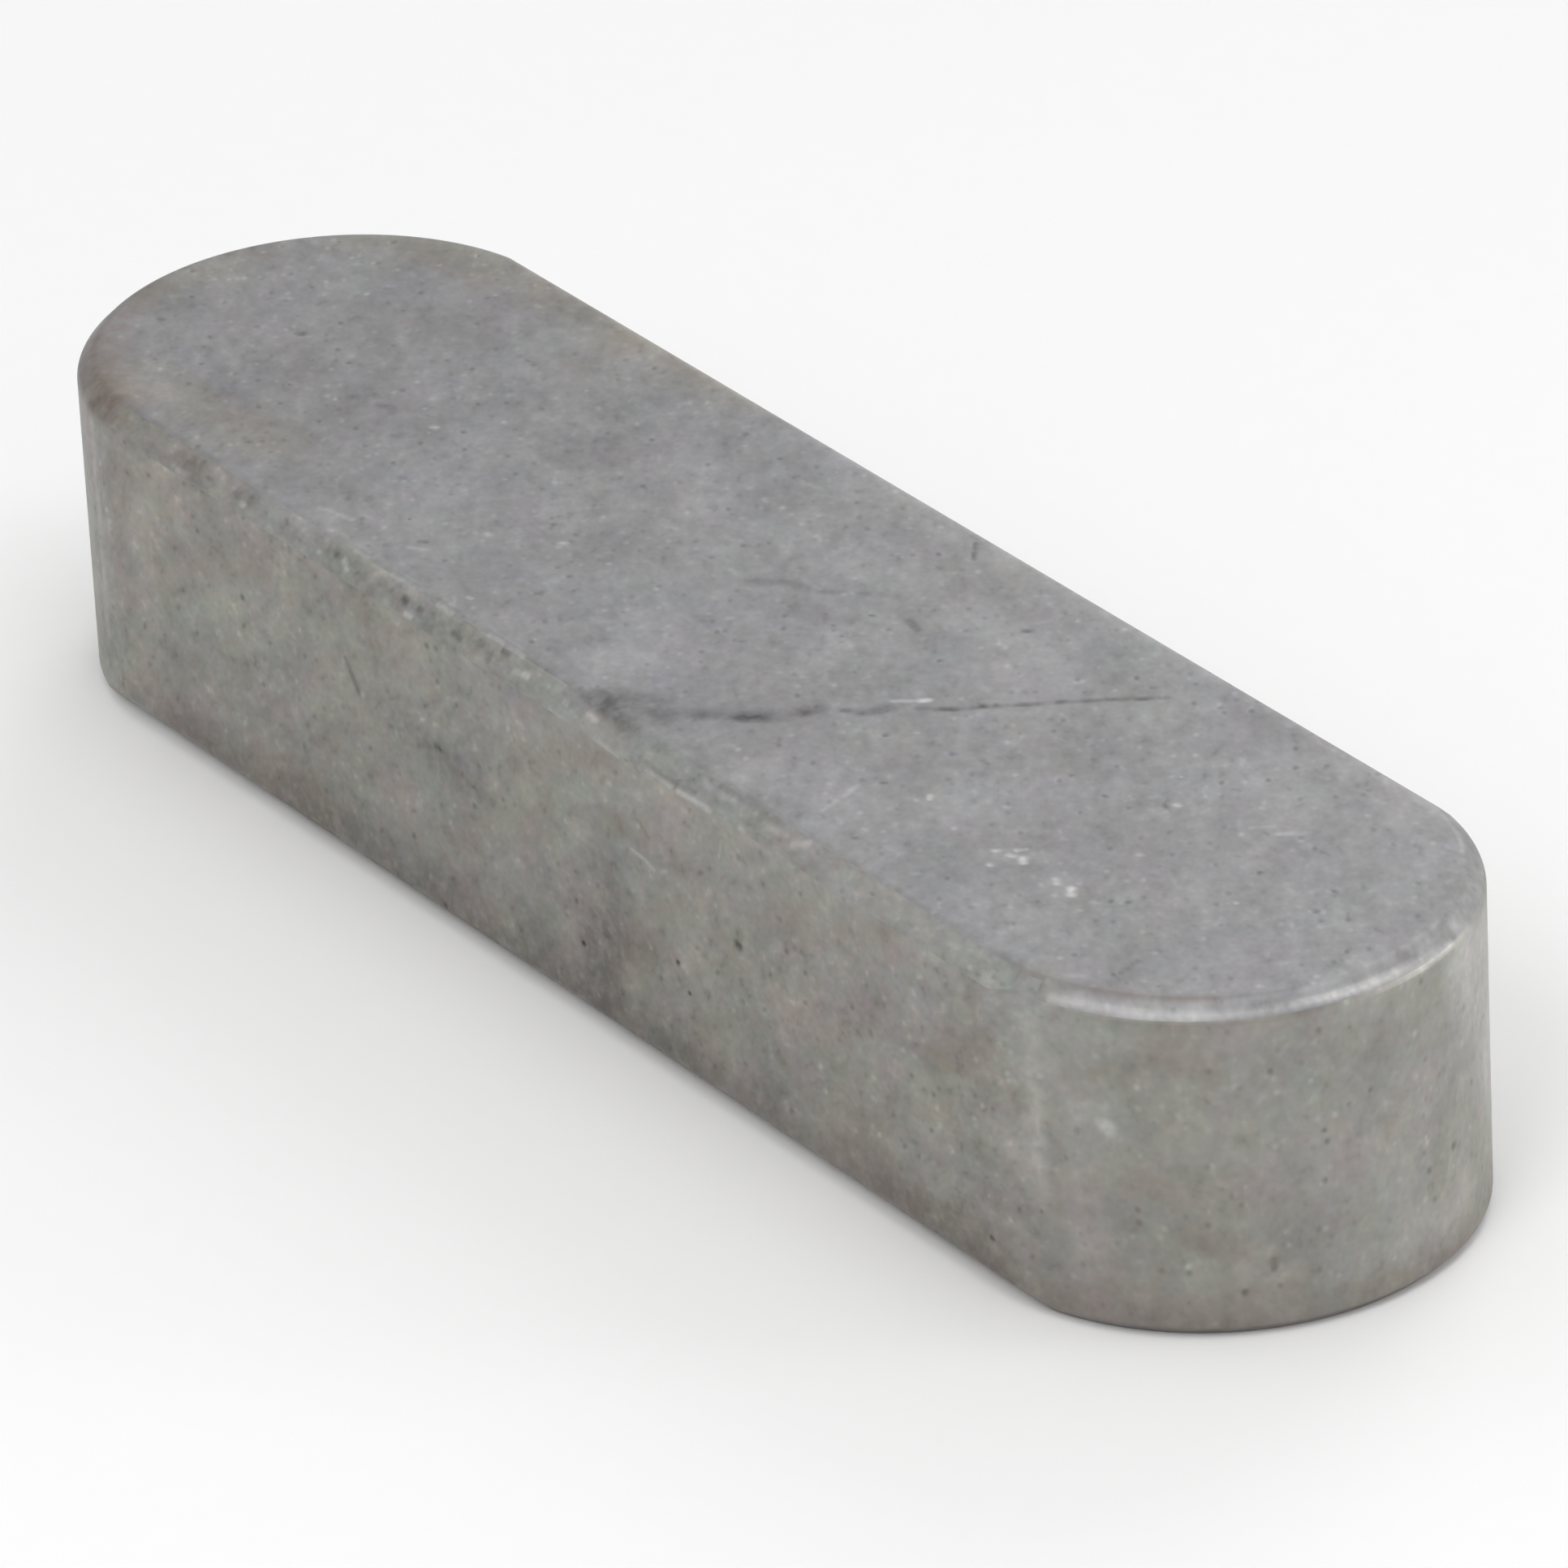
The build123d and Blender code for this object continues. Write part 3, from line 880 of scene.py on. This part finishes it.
def steel(name, colour, colours, grain, run_in):
    """Dull grained steel with its marks; the flank's colour, or its grain too, may run in."""
    finish = Finish(name)
    where = finish.node("ShaderNodeTexCoord").outputs["Object"]
    if run_in:
        shade, height = grained(finish, where, (*colour,), grain)
        shade = finish.mix(finish.mark("flank"), shade, grained(finish, where, (*colours.flank,), run_in)[0])
    else:
        oily = finish.mix(finish.mark("flank"), (*colour, 1), (*colours.flank, 1))
        shade, height = grained(finish, where, oily, grain)

    place = finish.node("ShaderNodeMapping", {"Vector": where, "Scale": (1 / MM,) * 3}).outputs[0]
    broken = finish.noise(place, 2.4, detail=2.0, roughness=0.7)
    amounts = {}
    # the dark and bright marks carry painted shade and painted highlights as well as dirt and bare metal
    for mark, tone, low in (
        ("brown", colours.brown, 1.3), ("dark", colours.dirt_and_shade, 1.25), ("fresh", colours.fresh, 0.75)
    ):
        uneven = finish.ramp(broken, 0.35, 0.65, low, 2 - low)
        amounts[mark] = finish.math("MULTIPLY", finish.mark(mark), uneven, clamp=True)
        shade = finish.mix(amounts[mark], shade, (*tone, 1))
    finish.set(finish.shader.inputs["Base Color"], shade)

    dull = finish.noise(place, 0.9, detail=3.0, roughness=0.7)
    rough = finish.line(amounts["dark"], 0.2, finish.line(dull, 0.12, colours.roughness - 0.06))
    finish.set(finish.shader.inputs["Roughness"], rough)
    finish.set(finish.shader.inputs["Metallic"], colours.metallic)

    relief = finish.node("ShaderNodeBump", {"Strength": 1.0, "Distance": 0.004 * MM, "Height": height})
    finish.set(finish.shader.inputs["Normal"], relief.outputs[0])
    return finish.material


# in the order of the faces' numbers, from BROAD_FACE on
FINISHES = (
    ("drawn broad face", "face", FACE_GRAIN, None),
    ("near flank", "flank", NEAR_GRAIN, None),
    ("milled end", "end", END_GRAIN, NEAR_GRAIN),
    ("drawn chamfer", "chamfer", CHAMFER_GRAIN, None),
    ("far flank", "flank", FAR_GRAIN, None),
)


# --- stage -------------------------------------------------------------------------------------------


class StageSettings(bpy.types.PropertyGroup):
    """The floor, the lamps and the camera."""

    azimuth: FloatProperty(
        name="Azimuth", description="Where the camera stands round the key", default=math.radians(55.838),
        subtype="ANGLE",
    )
    elevation: FloatProperty(
        name="Elevation", description="Camera's height above the floor, as an angle",
        default=math.radians(28.379), subtype="ANGLE",
    )
    roll: FloatProperty(
        name="Roll", description="How far the camera leans", default=math.radians(-2.934), subtype="ANGLE"
    )
    distance: FloatProperty(
        name="Distance", description="From the key's middle to the camera", default=0.28513, unit="LENGTH"
    )
    lens: FloatProperty(name="Lens", description="Focal length in millimetres", default=294.35)
    aside: FloatProperty(
        name="Aside", description="How far the camera stands to its right", default=0.000557, unit="LENGTH"
    )
    above: FloatProperty(
        name="Above", description="How far the camera stands up from its line of sight", default=-0.0007,
        unit="LENGTH",
    )
    world: FloatProperty(name="World", description="Strength of the light from all round", default=0.684)
    lamps: FloatProperty(name="Lamps", description="Strength of the lamps, all together", default=1.0)
    floor_size: FloatProperty(name="Floor", description="Half the floor's width", default=2.0, unit="LENGTH")


Lamp = namedtuple("Lamp", "name place aim size power")

LAMPS = [
    Lamp("near_end_lamp", (0.05, 0.0, 0.16), (0.01, 0.0, 0.0), 0.12, 0.040),
    Lamp("overhead_lamp", (0.0, 0.0, 0.6), (0.0, 0.0, 0.0), 0.4, 0.053),
    Lamp("left_lamp", (-0.20, -0.12, 0.12), (0.0, 0.0, 0.0), 0.15, 0.036),
    Lamp("far_lamp", (-0.25, 0.40, 0.30), (0.0, 0.0, 0.0), 0.3, 0.524),
    Lamp("low_lamp", (0.14, 0.16, 0.03), (0.015, 0.0, 0.004), 0.06, 0.102),
    Lamp("front_lamp", (0.10, -0.16, 0.20), (0.0, 0.0, 0.0), 0.12, 0.140),
]


def camera_axes(settings):
    """Right, up and back of the camera, as the rows of a turned frame."""
    a, e, r = settings.azimuth, settings.elevation, settings.roll
    back = Vector((math.sin(a) * math.cos(e), -math.cos(a) * math.cos(e), math.sin(e)))
    level = Vector((math.cos(a), math.sin(a), 0))
    upright = back.cross(level)
    right = math.cos(r) * level + math.sin(r) * upright
    return right, back.cross(right), back


def add_camera(context, settings):
    """A long lens on the key's near corner."""
    right, up, back = camera_axes(settings)
    middle = (key_low + key_high) / 2
    data = bpy.data.cameras.new("camera")
    data.lens = settings.lens
    data.clip_start, data.clip_end = 0.01, 10
    camera = bpy.data.objects.new("camera", data)
    camera.matrix_world = Matrix.Translation(
        middle + back * settings.distance + right * settings.aside + up * settings.above
    ) @ Matrix((right, up, back)).transposed().to_4x4()
    context.scene.collection.objects.link(camera)
    context.scene.camera = camera


def add_lamps(context, settings):
    """Round soft lamps about the key."""
    for lamp in LAMPS:
        data = bpy.data.lights.new(lamp.name, "AREA")
        data.shape = "DISK"
        data.size = lamp.size
        data.energy = lamp.power * settings.lamps
        made = bpy.data.objects.new(lamp.name, data)
        made.matrix_world = Matrix.Translation(lamp.place) @ (
            Vector(lamp.aim) - Vector(lamp.place)
        ).to_track_quat("-Z", "Y").to_matrix().to_4x4()
        context.scene.collection.objects.link(made)


def seen_directly(finish):
    """1 where the camera sees a surface itself or in a mirror, 0 where it only lights others."""
    path = finish.node("ShaderNodeLightPath")
    seen = finish.math("MAXIMUM", path.outputs["Is Camera Ray"], path.outputs["Is Glossy Ray"])
    return finish.math("MAXIMUM", seen, path.outputs["Is Transmission Ray"])


def floor_finish():
    """Matt white round the key, plain white further off."""
    finish = Finish("floor")
    finish.shader.inputs["Roughness"].default_value = 0.9
    place = finish.node("ShaderNodeTexCoord").outputs["Object"]
    away = finish.node("ShaderNodeVectorMath", {0: place}, operation="LENGTH").outputs["Value"]
    dust = finish.noise(place, 900.0, detail=2.0)
    shade = finish.line(dust, 0.01, 0.895)
    finish.set(finish.shader.inputs["Base Color"], finish.scale((1.0, 1.0, 1.0), shade))
    plain = finish.node("ShaderNodeEmission", {"Color": (1, 1, 1, 1), "Strength": 1.0}).outputs[0]
    blend = finish.math("MULTIPLY", finish.ramp(away, 0.04, 0.12, 0.0, 1.0), seen_directly(finish))
    both = finish.node("ShaderNodeMixShader", {0: blend, 1: finish.shader.outputs[0], 2: plain})
    finish.set(finish.tree.nodes["Material Output"].inputs["Surface"], both.outputs[0])
    return finish.material


def add_world(context, settings):
    """Even light from all round, plain white behind everything."""
    world = bpy.data.worlds.new("studio")
    context.scene.world = world
    world.use_nodes = True
    nodes, links = world.node_tree.nodes, world.node_tree.links
    light = nodes["Background"]
    light.inputs["Color"].default_value = (1, 1, 1, 1)
    light.inputs["Strength"].default_value = settings.world
    white = nodes.new("ShaderNodeBackground")
    white.inputs["Strength"].default_value = 1.0
    white.inputs["Color"].default_value = (1, 1, 1, 1)
    path = nodes.new("ShaderNodeLightPath")
    mix = nodes.new("ShaderNodeMixShader")
    links.new(path.outputs["Is Camera Ray"], mix.inputs[0])
    links.new(light.outputs[0], mix.inputs[1])
    links.new(white.outputs[0], mix.inputs[2])
    links.new(mix.outputs[0], nodes["World Output"].inputs["Surface"])


class OBJECT_OT_key_stage(bpy.types.Operator):
    """Lays the floor, sets the lamps and points the camera"""

    bl_idname = "object.key_stage"
    bl_label = "Stage"

    def execute(self, context):
        settings = context.scene.key_stage
        bm = bmesh.new()
        bmesh.ops.create_grid(bm, x_segments=1, y_segments=1, size=settings.floor_size)
        mesh = bpy.data.meshes.new("floor")
        bm.to_mesh(mesh)
        bm.free()
        mesh.materials.append(floor_finish())
        floor = bpy.data.objects.new("floor", mesh)
        context.scene.collection.objects.link(floor)
        add_world(context, settings)
        add_lamps(context, settings)
        add_camera(context, settings)
        context.scene.view_settings.view_transform = "Standard"
        return {"FINISHED"}


class VIEW3D_PT_parallel_key(bpy.types.Panel):
    """The key's sizes and colours, and its operators"""

    bl_label = "Parallel key"
    bl_idname = "VIEW3D_PT_parallel_key"
    bl_space_type = "VIEW_3D"
    bl_region_type = "UI"
    bl_category = "Parallel key"

    def draw(self, context):
        for group, operator in (
            ("key_sizes", None), ("key_colours", "object.steel_key"), ("key_stage", "object.key_stage")
        ):
            settings = getattr(context.scene, group)
            for name in settings.bl_rna.properties.keys():
                if name not in ("rna_type", "name"):
                    self.layout.prop(settings, name)
            if operator:
                self.layout.operator(operator)


CLASSES = (
    KeySizes, KeyColours, StageSettings, OBJECT_OT_steel_key, OBJECT_OT_key_stage, VIEW3D_PT_parallel_key
)


def register():
    for cls in CLASSES:
        bpy.utils.register_class(cls)
    bpy.types.Scene.key_sizes = PointerProperty(type=KeySizes)
    bpy.types.Scene.key_colours = PointerProperty(type=KeyColours)
    bpy.types.Scene.key_stage = PointerProperty(type=StageSettings)


def unregister():
    del bpy.types.Scene.key_stage
    del bpy.types.Scene.key_colours
    del bpy.types.Scene.key_sizes
    for cls in reversed(CLASSES):
        bpy.utils.unregister_class(cls)


def main():
    register()
    bpy.ops.object.steel_key()
    bpy.ops.object.key_stage()


if __name__ == "__main__":
    main()
